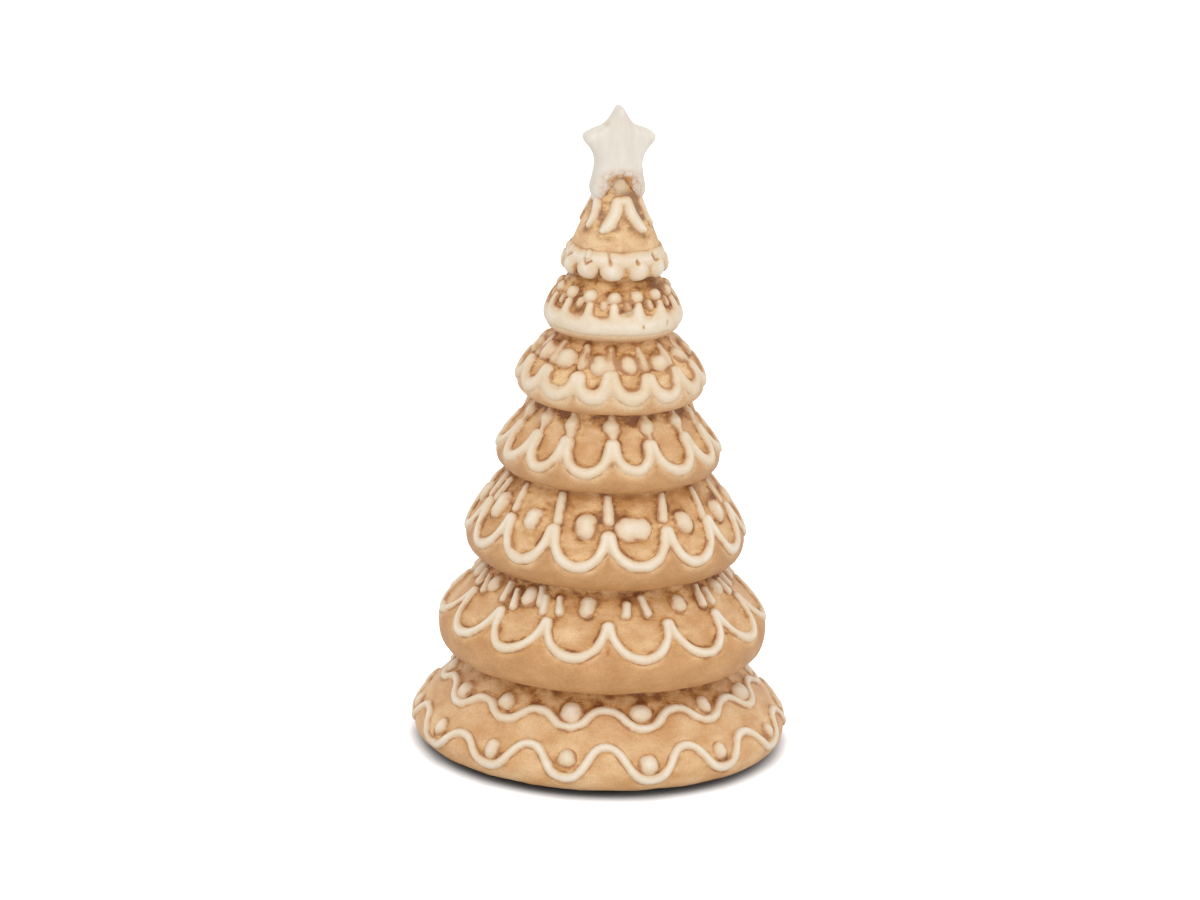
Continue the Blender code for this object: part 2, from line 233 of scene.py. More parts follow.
def icingMaterial():
    # the same resin in raised lines, picked out with cream paint and rubbed: palest on the crest,
    # brown at the foot where the glaze stayed, with tan showing through in worn patches
    made, tree = newMaterial("cream painted resin relief")
    place = placeIn(tree)
    grain = noise(tree, place, marks["grain"], 2.0)
    worn = mapped(tree, noise(tree, place, marks["worn"], 4.0), 0.32, 0.6, -0.2, 0.12)
    level = joined(tree, "ADD", layerOf(tree, "crest"), worn)
    cream = colourRamp(tree, level, [
        (0.0, "rubbed"), (0.08, "stained"), (0.2, "thinCream"), (0.42, "cream"), (0.95, "brightCream"),
    ])
    # the paint is warmer where it went on thin, in patches of about a centimetre
    thin = mapped(tree, noise(tree, place, marks["thick"], 3.0), 0.44, 0.64, toHigh=0.5)
    paint = blended(tree, joined(tree, "MULTIPLY", level, thin), cream, "warmCream")
    coat = scaled(tree, paint, mapped(tree, grain, 0.3, 0.7, 0.95, 1.03))
    bump = bumped(tree, grain, 0.2, depths["grain"])
    coated(tree, coat, bump, {"IOR": 1.5, "Roughness": 0.48})
    return made


def starMaterial():
    # the star's cream paint, brushed down its face, with brown glaze stippled into its foot, and painted
    # shade with the glaze where its legs part over the tree's tip
    made, tree = newMaterial("cream painted resin star")
    place = placeIn(tree)
    brush = noise(tree, stretched(tree, place, 0.3), marks["starBrush"], 3.0)
    stipple = noise(tree, place, marks["stipple"], 3.0, 0.7)
    paint = blended(tree, mapped(tree, brush, 0.3, 0.7), "starShade", "starCream")
    dabs = mapped(tree, stipple, 0.35, 0.65, 0.2, 1.5)
    washed = joined(tree, "MULTIPLY", layerOf(tree, "wash"), dabs)
    glazed = blended(tree, washed, paint, "starGlaze")
    bump = bumped(tree, brush, 0.2, depths["grain"])
    coated(tree, glazed, bump, {"IOR": 1.5, "Roughness": 0.48})
    return made


def feltMaterial():
    # pressed wool felt: no gloss, a fibrous nap of about half a millimetre
    made, tree = newMaterial("pressed wool felt")
    place = placeIn(tree)
    nap = noise(tree, place, marks["nap"], 4.0, distortion=1.5)
    tint = blended(tree, nap, "feltShade", "feltNap")
    bump = bumped(tree, nap, 0.6, depths["nap"])
    coated(tree, tint, bump, {"Roughness": 0.95, "Specular IOR Level": 0.2})
    return made


castResin = castResinMaterial()
icingPaint = icingMaterial()
starPaint = starMaterial()
woolFelt = feltMaterial()
print("stage: materials made")


# the turned face of a tier, as a line and as a fine mesh

class Face:
    # everything in millimetres and degrees; along is measured down the face from the tier above

    def __init__(self, tier, over=None):
        shoulder, rim, foot = tier["shoulder"], tier["rim"], tier["foot"]
        upper = interpolate_bezier(*[Vector(p) for p in (shoulder, *tier["upper"], rim)], 90)
        lower = interpolate_bezier(*[Vector(p) for p in (rim, *tier["lower"], foot)], 50)
        if over:  # the casting runs up under the tier above in a small hollow
            corner = Vector(over.foot)
            start = next(i for i, p in enumerate(upper) if (p - corner).length > tier["hollow"])
            under = Vector((corner.x + tier["hollow"], over.underside(corner.x + tier["hollow"])))
            hollow = [under, under.lerp(corner, 0.8), upper[start].lerp(corner, 0.8), upper[start]]
            upper = interpolate_bezier(*hollow, 14)[:-1] + upper[start:]
        line = np.array([tuple(p) for p in upper + lower[1:]])
        self.foot = foot
        self.alongs = np.concatenate([[0.0], np.cumsum(np.hypot(*np.diff(line, axis=0).T))])
        self.radii, self.heights = line[:, 0], line[:, 1]
        self.length = self.alongs[-1]
        self.rimAlong = self.alongs[len(upper) - 1]
        down = np.gradient(line, self.alongs, axis=0)
        down /= np.hypot(*down.T)[:, None]
        self.normals = np.stack([-down[:, 1], down[:, 0]], axis=1)

    def underside(self, radius):
        below = self.alongs > self.rimAlong
        return float(np.interp(-radius, -self.radii[below], self.heights[below]))

    def radius(self, along):
        return np.interp(along, self.alongs, self.radii)

    def height(self, along):
        return np.interp(along, self.alongs, self.heights)

    def normal(self, along):
        return [np.interp(along, self.alongs, self.normals[:, i]) for i in (0, 1)]

    def alongAt(self, height):
        return np.interp(-np.asarray(height, float), -self.heights, self.alongs)


def wrappedSheet(face, columns, rowStep, low, high):
    # a grid to wrap right round the face between two distances down it
    rows = max(2, int(round((high - low) / rowStep)))
    bm = bmesh.new()
    bmesh.ops.create_grid(bm, x_segments=columns, y_segments=rows, size=1.0)
    bm.verts.ensure_lookup_table()
    places = np.array([v.co[:2] for v in bm.verts])
    theta = places[:, 0] * 180.0
    along = low + (1 - places[:, 1]) / 2 * (high - low)
    return bm, theta, along


def moveFace(bm, face, theta, along, lift):
    # each vertex goes to its place on the face, lifted along the normal
    out, up = face.normal(along)
    radius = face.radius(along) + out * lift
    height = face.height(along) + up * lift
    turn = np.radians(theta)
    xs, ys = radius * np.sin(turn), -radius * np.cos(turn)
    for vert, x, y, z in zip(bm.verts, xs, ys, height):
        vert.co = (x * mm, y * mm, z * mm)


def writeLayer(bm, name, values):
    layer = bm.verts.layers.float.new(name)
    for vert, value in zip(bm.verts, values):
        vert[layer] = float(value)


def ripple(face, theta, along, seed, size):
    # smooth unevenness, mostly between -1 and 1, of about that size in mm, closed round the tree
    draw = np.random.default_rng(seed)
    around = tau * face.radii.max() / size
    total = np.zeros_like(theta)
    for _ in range(7):
        turns = max(1, round(around * draw.uniform(0.3, 1.2)))
        slope = draw.uniform(-1.2, 1.2) * tau / size
        total += np.sin(np.radians(theta) * turns + along * slope + draw.uniform(0, tau))
    return total / 7 ** 0.5


# piped strokes are lists of (angle, height, half width) in degrees and mm

def pipeField(face, theta, along, strokes, web):
    # for each point, the distance to the icing's edge, its lift and the share of the way to its crest;
    # web, per mm, says how readily lines that run together fill the corner between them
    total = np.zeros(theta.shape)
    widths, heights, rounds, paints = (np.zeros(theta.shape) for _ in range(4))
    radius = face.radius(along)
    margin, far = 6.0, 50.0  # mm past a stroke that are looked at, and what stands for any more
    for stroke in strokes:
        points = np.array(stroke["points"], float)
        middle = (points[:, 0].min() + points[:, 0].max()) / 2
        spots = face.alongAt(points[:, 1])
        xs = np.radians(points[:, 0] - middle) * face.radius(spots)
        across = turnsFrom(theta, middle)
        reach = np.degrees((np.abs(xs).max() + margin) / radius)
        beside = (along > spots.min() - margin) & (along < spots.max() + margin)
        near = np.flatnonzero((np.abs(across) < reach) & beside)
        if not len(near):
            continue
        px, py = np.radians(across[near]) * radius[near], along[near]
        gap = np.full(len(near), far)
        width = np.ones(len(near))
        for i in range(len(points) - 1):
            dx, dy = xs[i + 1] - xs[i], spots[i + 1] - spots[i]
            run = (px - xs[i]) * dx + (py - spots[i]) * dy
            t = np.clip(run / max(dx * dx + dy * dy, 1e-9), 0.0, 1.0)
            half = points[i, 2] + t * (points[i + 1, 2] - points[i, 2])
            away = np.hypot(px - xs[i] - t * dx, py - spots[i] - t * dy) - half
            width = np.where(away < gap, half, width)
            gap = np.minimum(gap, away)
        pull = np.exp(-2 * web * gap)
        total[near] += pull
        widths[near] += pull * width
        heights[near] += pull * stroke["height"]
        rounds[near] += pull * stroke.get("roundness", 0.7)
        paints[near] += pull * stroke.get("paint", 1.0)
    some = np.maximum(total, 1e-30)
    edge = np.minimum(-np.log(some) / (2 * web), far)
    sums = (widths, heights, rounds, paints)
    widths, heights, rounds, paints = (np.where(total > 0, part / some, 1.0) for part in sums)
    crest = np.clip(-edge / widths, 0.0, 1.0)
    lift = np.where(edge < 0, heights * (crest * (2 - crest)) ** rounds, -0.6 * edge)
    return edge, lift, crest * paints


def swag(left, low, right, width, tip, height, lean, inset, full, steps=14):
    # a U from cusp to cusp; left, low and right are (angle, height), lean tips its ends towards
    # each other and inset keeps them that many degrees clear of the cusp's middle
    left, right = (left[0] + inset, left[1]), (right[0] - inset, right[1])
    points = []
    for i in range(2 * steps + 1):
        turn = lean + (pi - 2 * lean) * i / (2 * steps)
        side = left if turn < pi / 2 else right
        run = abs(cos(turn)) / cos(lean)
        fall = (sin(turn) ** full - sin(lean) ** full) / (1 - sin(lean) ** full)
        angle = low[0] + (side[0] - low[0]) * run
        points.append((angle, side[1] + (low[1] - side[1]) * fall, tip + (width - tip) * sin(turn)))
    return {"points": points, "height": height}


def wave(start, end, width, lift, steps=10):
    # half a wave between a crest and a trough
    points = []
    for i in range(steps + 1):
        share = i / steps
        level = (1 - cos(pi * (share - 0.05 * sin(tau * share)))) / 2
        angle, height = start[0] + (end[0] - start[0]) * share, start[1] + (end[1] - start[1]) * level
        points.append((angle, height, width))
    return {"points": points, "height": lift}


def drop(top, bottom, topWidth, bottomWidth, height, roundness=0.75):
    return {"points": [(*top, topWidth), (*bottom, bottomWidth)], "height": height, "roundness": roundness}


def dot(face, angle, top, bottom, width, height, roundness=0.8):
    # a blob as wide as width, from top to bottom, and a little over for its brown foot
    top, bottom, width = top + 0.2, bottom - 0.2, width * 1.12
    low, high = face.alongAt([top, bottom])
    middle, length = (top + bottom) / 2, high - low
    radius = float(face.radius((low + high) / 2))
    if length >= width:
        trim = (top - bottom) * width / length / 2
        return drop((angle, top - trim), (angle, bottom + trim), width * 0.46, width / 2, height, roundness)
    side = degrees((width - length) / 2 / radius)
    return drop((angle - side, middle), (angle + side, middle), length / 2, length / 2, height, roundness)


repeats = 14  # of what goes round a tier


def allRound(spec, key, count=repeats):
    # the front's (angle, height, ...) places, as measured, then evenly spaced ones round the back
    front, stray = spec[key], spec["strays"][key]
    pitch = 360.0 / count
    missing = count - len(front)
    gap = front[0][0] + 360.0 - front[-1][0]
    like = np.array([row[1:] for row in front]).mean(axis=0)
    places = list(front)
    for n in range(1, missing + 1):
        angle = front[-1][0] + gap * n / (missing + 1) + rng.normal(0, 0.02) * pitch
        places.append((angle, like[0] + rng.normal(0, stray), *like[1:]))
    return places


def ringOfSwags(cusps, lows, spec):
    shape = [spec[k] for k in ("lineWidth", "tipWidth", "lineHeight", "lean", "inset", "full")]
    strokes = []
    for i, left in enumerate(cusps):
        right = cusps[(i + 1) % len(cusps)]
        if right[0] < left[0]:
            right = (right[0] + 360.0, right[1])
        low = lows[i]
        while low[0] < left[0]:
            low = (low[0] + 360.0, low[1])
        strokes.append(swag(left, low, right, *shape))
    return strokes


def ringOfWaves(crests, troughs, width, height):
    strokes = []
    for i, crest in enumerate(crests):
        after = crests[(i + 1) % len(crests)]
        if after[0] < crest[0]:
            after = (after[0] + 360.0, after[1])
        trough = troughs[i]
        while trough[0] < crest[0]:
            trough = (trough[0] + 360.0, trough[1])
        strokes.append(wave(crest, trough, width, height))
        strokes.append(wave(trough, after, width, height))
    return strokes


def lineUnder(face, theta, strokes):
    # how far down the face a ring of strokes runs at each angle
    spots = np.array([p[:2] for stroke in strokes for p in stroke["points"]])
    angles = turnsFrom(spots[:, 0], 0.0)
    order = np.argsort(angles)
    return np.interp(theta, angles[order], face.alongAt(spots[order, 1]), period=360.0)


# the tiers: lines in (radius, height) in mm, then what is piped on them

base = {
    "shoulder": (35.2, 26.0), "upper": [(40.3, 18.6), (51.0, 10.8)], "rim": (51.0, 6.4),
    "lower": [(51.0, 3.2), (50.2, 1.7)], "foot": (46.5, 1.8), "hollow": 3.4,
    "pale": 0.6, "washTo": 21.2, "washDepth": 0.6, "under": 0.1, "creamFade": 0.0,
}
second = {
    "shoulder": (30.4, 52.7), "upper": [(31.6, 49.0), (45.0, 39.6)], "rim": (45.0, 34.0),
    "lower": [(45.0, 26.4), (41.5, 26.2)], "foot": (35.0, 26.3), "hollow": 3.4,
    "pale": 0.55, "washTo": 47.5, "washDepth": 0.5, "under": 0.75, "creamFade": 0.0,
}
third = {
    "shoulder": (25.4, 78.1), "upper": [(28.6, 76.2), (38.0, 64.0)], "rim": (38.1, 59.2),
    "lower": [(38.2, 55.6), (36.0, 52.9)], "foot": (30.0, 53.0), "hollow": 3.2,
    "pale": 0.55, "washTo": 69.5, "washDepth": 0.3, "under": 1.0, "creamFade": 0.15,
}
fourth = {
    "shoulder": (20.4, 98.5), "upper": [(21.5, 93.6), (30.2, 86.3)], "rim": (30.4, 83.0),
    "lower": [(30.5, 80.0), (29.4, 78.3)], "foot": (25.0, 78.4), "hollow": 2.8,
    "pale": 0.6, "washTo": 94.2, "washDepth": 0.8, "under": 1.0, "creamFade": 0.3,
}
fifth = {
    "shoulder": (15.0, 117.0), "upper": [(16.6, 115.4), (25.0, 107.9)], "rim": (25.4, 103.3),
    "lower": [(25.6, 100.4), (24.2, 98.6)], "foot": (20.0, 98.8), "hollow": 2.6,
    "pale": 0.75, "washTo": 109.0, "washDepth": 0.32, "under": 0.5, "creamFade": 0.6,
}
sixth = {
    "shoulder": (11.0, 134.1), "upper": [(14.5, 129.4), (17.9, 125.4)], "rim": (18.3, 121.3),
    "lower": [(18.4, 118.6), (17.0, 117.2)], "foot": (14.5, 117.3), "hollow": 2.2,
    "pale": 0.6, "washTo": 125.0, "washDepth": 0.6, "under": 0.3, "creamFade": 0.8,
}
peak = {
    "shoulder": (0.6, 161.5), "upper": [(3.6, 160.0), (12.4, 142.0)], "rim": (13.6, 135.9),
    "lower": [(13.7, 134.2), (12.6, 133.5)], "foot": (10.6, 133.9),
    "pale": 0.85, "washTo": 150.5, "washDepth": 0.95, "under": 1.0, "creamFade": 0.0,
    "notched": 0.9, "line": 0.4, "sunk": 0.1, "blush": 0.2,
}
tiers = {
    "base": base, "second": second, "third": third, "fourth": fourth, "fifth": fifth,
    "sixth": sixth, "peak": peak,
}
faces = {}
for name in reversed(list(tiers)):
    over = list(faces.values())[-1] if faces else None
    faces[name] = Face(tiers[name], over)

# what is piped: rows are (angle, height) of crests, dips, cusps and lobes at the front,
# and (angle, top, bottom, width) of dots; shapes are two half widths and a height
# strays are in mm, up or down; what goes by a place is given in degrees from it
basePiping = {
    "lowerCrests": [
        (-75, 11.6), (-48, 11.0), (-22.5, 12.8), (2.5, 13.5), (30, 12.9), (55, 12.4),
        (81, 11.8),
    ],
    "lowerDips": [
        (-61, 5.4), (-35, 5.9), (-9.5, 5.9), (16.5, 5.5), (42, 6.1), (68, 6.0), (93, 5.7),
    ],
    "upperCrests": [
        (-75, 19.4), (-48.5, 19.4), (-23.5, 20.2), (2.2, 21.2), (31, 20.8), (57, 20.0),
        (82, 19.6),
    ],
    "upperDips": [
        (-61, 16.1), (-36.5, 16.8), (-11, 17.3), (17, 17.2), (44, 17.1), (70, 16.3),
        (95, 16.8),
    ],
    "strays": {
        "lowerCrests": 0.5, "lowerDips": 0.25, "upperCrests": 0.3, "upperDips": 0.25,
        "lowerDots": 0.2, "upperDots": 0.2,
    },
    "lineWidth": 1.38, "lineHeight": 0.8, "web": 12.0,
    "lowerDots": [
        (-59.5, 12.4, 8.2, 4.2), (-35, 12.4, 7.8, 4.2), (-9.5, 12.9, 8.6, 4.9),
        (16, 11.7, 7.3, 5.2), (42, 12.3, 8.4, 4.0), (68.5, 11.5, 8.0, 4.8),
    ],
    "upperDots": [
        (-62, 20.6, 17.0, 5.4), (-38.5, 22.3, 18.4, 5.2), (-10.5, 22.9, 17.8, 5.8),
        (16.5, 22.2, 18.8, 5.9), (44.5, 22.3, 18.4, 4.2), (69.5, 21.3, 17.2, 7.0),
    ],
    "dotHeight": 1.15,
}
secondPiping = {
    "cusps": [
        (-70.5, 45.0), (-46, 44.3), (-23, 44.4), (2.5, 44.5), (28.2, 44.6), (53, 44.3),
        (77, 44.7),
    ],
    "lows": [
        (-60, 36.6), (-37, 36.9), (-10, 37.3), (15.8, 37.2), (41, 36.8), (67, 36.6),
        (91, 36.8),
    ],
    "lineWidth": 1.5, "tipWidth": 1.25, "lineHeight": 0.8,
    "lean": 0.3, "inset": 0.7, "full": 0.92, "web": 1.0, "nick": 4.6,
    "dots": [
        (-61, 50.6, 46.8, 4.9), (-36, 51.1, 46.7, 4.3), (-6.8, 50.8, 46.3, 4.1), (37, 50.3, 46.4, 4.5),
        (66.5, 50.8, 47.1, 4.9),
    ],
    "drops": [  # top, bottom
        ((-75, 49.6), (-73.5, 47.0)), ((-68.5, 49.2), (-64.5, 46.4)), ((-50.5, 50.2), (-48.8, 46.6)),
        ((-44, 49.2), (-41.5, 46.0)), ((-31.5, 51.3), (-29.5, 48.2)), ((-27.6, 49.4), (-26.3, 46.3)),
        ((-20.6, 49.6), (-19.0, 46.8)), ((51.6, 51.0), (50.0, 47.0)), ((56.8, 49.6), (56.0, 46.8)),
        ((72.6, 49.8), (73.4, 46.8)), ((79, 50.0), (79.5, 47.6)),
    ],
    "twins": [((11.2, 49.0), (10.4, 46.9)), ((18.6, 50.4), (20.2, 47.1))],
    "dropShape": (1.0, 1.42, 0.95), "twinShape": (1.3, 1.55, 0.95),
    "backDrops": [((-4.4, 49.6), (-3.4, 46.6)), ((4.2, 49.9), (3.2, 46.6))],
    "strays": {"cusps": 0.25, "lows": 0.2},
    "backDot": (50.7, 46.6, 4.5), "dotHeight": 1.05,
}
thirdPiping = {
    "cusps": [
        (-73, 69.8), (-49.5, 69.0), (-24.5, 69.0), (1.5, 68.4), (29.5, 69.1), (55.5, 69.6),
        (80, 69.4),
    ],
    "lows": [
        (-63, 60.5), (-37, 60.5), (-11.5, 60.8), (15.5, 61.2), (41.5, 60.9), (67, 60.5),
        (93, 60.7),
    ],
    "lineWidth": 1.65, "tipWidth": 1.45, "lineHeight": 0.8,
    "lean": 0.25, "inset": 1.1, "full": 0.78, "web": 0.8, "nick": 4.8,
    "dots": [
        (-62, 74.0, 67.5, 5.4), (-37, 73.2, 67.9, 5.1), (-9.2, 73.6, 67.7, 5.7), (40.2, 73.1, 68.0, 5.3),
        (67, 73.3, 67.9, 5.6),
    ],
    "smear": (13.4, 72.7, 67.7, 9.2, 0.85, 0.55),  # a dot that ran, with its height and roundness
    "strokes": [
        ((-79.5, 76.4), (-77, 72.4)), ((-70, 76.2), (-69.5, 72.6)), ((-52.5, 76.8), (-49.8, 72.4)),
        ((-26.0, 77.0), (-23.6, 72.2)), ((0.6, 77.2), (1.6, 73.0)), ((33.6, 77.2), (29.6, 73.0)),
        ((57.2, 76.8), (54.0, 71.5)), ((79.5, 76.4), (78, 72.8)),
    ],
    "strokeShape": (1.15, 1.6, 0.6), "strokePaint": 0.7, "tail": 0.9,
    "backStroke": (76.9, 72.4), "slant": 2.5,
    "strays": {"cusps": 0.25, "lows": 0.2},
    "backDot": (73.3, 67.8, 5.4), "dotHeight": 1.1,
}
fourthPiping = {
    "cusps": [
        (-73, 91.4), (-50, 91.1), (-26.5, 91.3), (2.6, 91.4), (26.6, 91.1), (55.3, 91.3),
        (78, 91.3),
    ],
    "lows": [
        (-63.5, 84.3), (-39, 84.3), (-11.8, 84.6), (15.2, 85.6), (42, 84.6), (66.5, 84.6),
        (91, 84.6),
    ],
    "lineWidth": 1.7, "tipWidth": 1.4, "lineHeight": 0.85,
    "lean": 0.16, "inset": 1.5, "full": 0.75, "web": 0.7, "nick": 4.4, "softEdge": 0.15, "paint": 0.78,
    "dots": [
        (-74, 96.9, 93.6, 3.7), (-49, 96.9, 93.6, 3.9), (-26.2, 97.0, 93.3, 4.1), (2.3, 96.9, 93.5, 4.3),
        (27, 97.0, 93.5, 4.1), (54, 96.9, 93.7, 3.9), (77, 96.8, 93.7, 3.7),
    ],
    "dotHeight": 1.3,
    "faint": [
        ((-0.4, 98.0), (0, 96.0), (0.8, 0.9, 0.4), 0.3), ((0, 94.2), (0.8, 92.0), (0.95, 0.9, 0.5), 0.5),
    ],
    "strays": {"cusps": 0.2, "lows": 0.15, "dots": 0.1},
}
fifthPiping = {
    "cusps": [
        (-74, 109.2), (-49, 109.0), (-22.5, 108.8), (0.2, 109.6), (26.2, 108.8), (51.0, 109.4),
        (74, 109.2),
    ],
    "lows": [
        (-61, 104.2), (-36.5, 104.2), (-10.6, 104.3), (14.6, 104.4), (39.2, 104.2),
        (63, 104.4), (88, 104.3),
    ],
    "lineWidth": 2.15, "tipWidth": 1.45, "lineHeight": 0.8,
    "lean": 0.14, "inset": 2.2, "full": 0.75, "web": 0.7, "nick": 3.9, "softEdge": 0.25, "paint": 0.7,
    "dots": [
        (-61.5, 115.0, 110.6, 4.6), (-38, 114.9, 110.4, 5.2), (-8.6, 114.3, 109.9, 4.9),
        (13.4, 114.3, 110.2, 4.6), (40.2, 113.9, 110.3, 5.0), (65.5, 114.2, 110.8, 4.4),
    ],
    "dotHeight": 1.1,
    "faint": [((-0.8, 115.6), (0.3, 111.4), (1.0, 1.3, 0.15), 0.42)],
    "strays": {"cusps": 0.2, "lows": 0.15, "dots": 0.15},
}
sixthPiping = {
    "teeth": [
        (-72, 128.0), (-47, 128.0), (-22, 128.0), (1.2, 128.0), (25.2, 128.2), (50, 128.1),
        (75, 128.0),
    ],
    "bandMiddle": 122.3, "bandWidth": 2.6, "bandHeight": 0.6, "bandRoundness": 0.7,
    "tooth": [(123.4, 1.9), (124.8, 1.6)], "toothTip": (0.9, 1.2), "toothRoundness": 0.4,
    "web": 1.3, "softEdge": 0.5, "paint": 0.85,
    "dents": [[(27, 122.2, 0.3), (27, 121.7, 0.3)], [(52, 122.4, 0.35), (52, 121.8, 0.35)]],
    "dots": [
        (-74, 130.8, 128.0, 3.6), (-49, 130.8, 128.0, 3.6), (-24.4, 130.8, 127.9, 3.7),
        (1.4, 130.8, 127.8, 3.7), (24.8, 130.8, 128.0, 3.7), (50, 130.7, 128.0, 3.6),
        (75, 130.7, 128.0, 3.6),
    ],
    "dotHeight": 1.05,
    "faint": [((12.6, 127.8), (12.6, 127.0), (1.0, 1.15, 0.25), 0.3)],
    "strays": {"teeth": 0.1, "dots": 0.1},
}
peakPiping = {
    "lobes": [(-63, 134.9), (-33, 134.9), (-2.5, 134.8), (29, 134.9), (59, 134.9), (89, 134.9)],
    "lobeCount": 12, "lobeWidth": 3.3, "lobeEnds": (2.2, 1.5), "lobeSwell": 1.8, "lobeRoundness": 0.6,
    "bandMiddle": 139.1, "bandWidth": 2.25, "bandHeight": 0.6, "bandRoundness": 0.4, "bandStep": 30,
    "web": 12.0, "pool": 4.2, "halo": 1.3, "softEdge": 0.1, "paint": 0.95,
    "dents": [  # brown marks left in the band's top edge
        [(-72, 140.4, 0.35), (-66, 138.2, 0.4), (-61, 139.2, 0.3)],
        [(-38, 138.8, 0.3), (-33, 137.5, 0.45), (-28, 138.4, 0.35)],
        [(-8.5, 140.9, 0.3), (-4.5, 138.0, 0.6)],
        [(27, 139.0, 0.3), (27.5, 138.2, 0.75)],
        [(51.5, 139.8, 0.4), (54, 138.3, 0.5), (59, 138.4, 0.3)],
    ],
    "beads": [(-66, 141.2, 138.8, 2.4), (-33, 141.4, 138.4, 2.6), (57.5, 141.2, 138.8, 2.4)],
    "dotHeight": 0.95,
    "backDent": [(-5, 139.6, 0.35), (0, 138.0, 0.4), (5, 139.4, 0.3)], "backBead": (140.9, 138.8, 2.2),
    "strays": {"lobes": 0.1},
    "chevron": [
        (12.0, 153.6, 1.7), (13.6, 152.2, 1.9), (17.5, 150.2, 1.9), (24, 148.2, 1.85),
        (31, 146.9, 1.55), (36, 146.2, 1.0),
    ],
    "sideChevron": [
        (16, 153.8, 1.3), (25, 152.6, 1.5), (31, 150.4, 1.5), (30, 148.6, 1.4), (26, 147.2, 1.0),
    ],
    "chevronTurns": [15, 105, 195, 283], "chevronHeight": 0.8,
}


pipings = dict(zip(tiers, (
    basePiping, secondPiping, thirdPiping, fourthPiping, fifthPiping, sixthPiping, peakPiping,
)))


def dotsOf(name, rows):
    return [dot(faces[name], *row, pipings[name]["dotHeight"]) for row in rows]


def betweenCusps(spec, cusps):
    # the front's dots, and those for the swags that it doesn't show
    ends = [c[0] for c in cusps[len(spec["cusps"]) - 1:]] + [cusps[0][0] + 360]
    return spec["dots"] + [((a + b) / 2, *spec["backDot"]) for a, b in zip(ends, ends[1:])]


def faintStrokes(spec, rows):
    # strokes that have lost much of their paint, by each of the rows
    made = []
    for top, bottom, shape, paint in spec["faint"]:
        for angle, *_ in rows:
            stroke = drop((angle + top[0], top[1]), (angle + bottom[0], bottom[1]), *shape)
            made.append({**stroke, "paint": paint})
    return made


def swagsOf(spec, cusps):
    spec["allCusps"] = cusps
    return ringOfSwags(cusps, allRound(spec, "lows"), spec)


piping = {"base": {}}
spec = basePiping
for level in ("lower", "upper"):
    crests, dips = (allRound(spec, level + kind) for kind in ("Crests", "Dips"))
    line = ringOfWaves(crests, dips, spec["lineWidth"], spec["lineHeight"])
    piping["base"][f"base_{level}_wave"] = line
for level in ("lower", "upper"):
    rows = allRound(spec, level + "Dots")
    piping["base"][f"base_{level}_dots"] = dotsOf("base", rows)

spec = secondPiping
cusps = allRound(spec, "cusps")
drops = list(spec["drops"])
for angle, _ in cusps[len(spec["cusps"]):]:
    for top, low in spec["backDrops"]:
        drops.append(((angle + top[0], top[1]), (angle + low[0], low[1])))
piping["second"] = {
    "second_tier_garland": swagsOf(spec, cusps),
    "second_tier_dots": dotsOf("second", betweenCusps(spec, cusps)),
    "second_tier_drops": [drop(*ends, *spec["dropShape"]) for ends in drops]
    + [drop(*ends, *spec["twinShape"]) for ends in spec["twins"]],
}

spec = thirdPiping
cusps = allRound(spec, "cusps")
strokes = list(spec["strokes"])
start, end = spec["backStroke"]
for angle, _ in cusps[len(spec["cusps"]):]:
    strokes.append(((angle + rng.uniform(-spec["slant"], spec["slant"]), start), (angle, end)))
tapered = []
for top, (angle, end) in strokes:
    stroke = drop(top, (angle, end - spec["tail"]), *spec["strokeShape"])
    tapered.append({**stroke, "paint": spec["strokePaint"]})
piping["third"] = {
    "third_tier_garland": swagsOf(spec, cusps),
    "third_tier_dots": dotsOf("third", betweenCusps(spec, cusps))
    + [dot(faces["third"], *spec["smear"])],
    "third_tier_strokes": tapered,
}

spec = fourthPiping
cusps = allRound(spec, "cusps")
dots = allRound(spec, "dots")
piping["fourth"] = {
    "fourth_tier_garland": swagsOf(spec, cusps),
    "fourth_tier_dots": dotsOf("fourth", dots) + faintStrokes(spec, dots),
}

spec = fifthPiping
cusps = allRound(spec, "cusps")
garland = swagsOf(spec, cusps)
dots = allRound(spec, "dots")
piping["fifth"] = {
    "fifth_tier_garland": garland,
    "fifth_tier_dots": dotsOf("fifth", dots) + faintStrokes(spec, cusps),
}

spec = sixthPiping
teeth = allRound(spec, "teeth")
dots = allRound(spec, "dots")
around = [(a, spec["bandMiddle"], spec["bandWidth"]) for a in range(-180, 181, 30)]
band = [{"points": around, "height": spec["bandHeight"], "roundness": spec["bandRoundness"]}]
short, tipWidth = spec["toothTip"]
for a, h in teeth:
    points = [(a, *place) for place in spec["tooth"]] + [(a, h - short, tipWidth)]
    band.append({"points": points, "height": spec["bandHeight"], "roundness": spec["toothRoundness"]})
piping["sixth"] = {
    "sixth_tier_band": band,
    "sixth_tier_dots": dotsOf("sixth", dots) + faintStrokes(spec, teeth),
}

